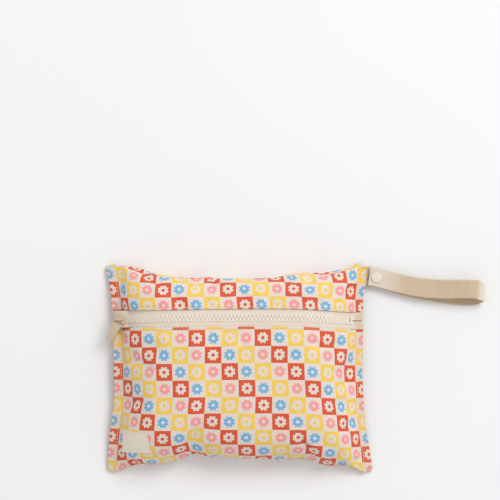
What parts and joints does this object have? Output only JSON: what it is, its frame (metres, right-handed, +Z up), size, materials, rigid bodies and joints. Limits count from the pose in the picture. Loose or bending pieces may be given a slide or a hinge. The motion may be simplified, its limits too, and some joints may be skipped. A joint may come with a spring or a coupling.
{
  "type": "cloth diaper wet bag",
  "caption": "Small zipped cloth wet bag, filled and lying on its back, with a snap-closed webbing loop at its upper right corner and a woven tag.",
  "frame": {"origin": "middle of the flat back, on the surface that the bag lies on", "axes": "+X along the zip towards the webbing loop, +Y from the bottom fold towards the top fold, +Z up out of the front"},
  "size_m": [0.3829, 0.2088, 0.0508],
  "materials": {
    "printed_cloth": "smooth laminated cotton cloth with a small flower print in red, yellow, blue and pink on ecru squares",
    "zip_tape": "ecru woven tape",
    "zip_teeth": "satin moulded ecru",
    "zip_slider": "painted ecru, smooth",
    "webbing": "ecru cotton webbing, ribbed across",
    "snap": "smooth moulded ecru",
    "woven_tag": "fine woven, bare"
  },
  "bodies": {
    "bag": {"body_cloth": "printed_cloth", "zip_tape_upper": "zip_tape", "zip_tape_lower": "zip_tape", "zip_teeth_upper": "zip_teeth", "zip_teeth_lower": "zip_teeth", "zip_stop": "zip_teeth", "zip_slider": "zip_slider", "strap": "webbing", "snap_cap_back": "snap", "snap_stud": "snap", "snap_socket": "snap", "snap_cap_front": "snap", "label": "woven_tag"},
    "pull": {"zip_pull": "zip_slider"}
  },
  "joints": [
    {"name": "pull_hinge", "type": "hinge", "parent": "bag", "child": "pull", "pos_m": [-0.1177, 0.04904, 0.02565], "axis": [-0.8263, 0.5299, -0.1908], "range_deg": [0, 165]}
  ]
}
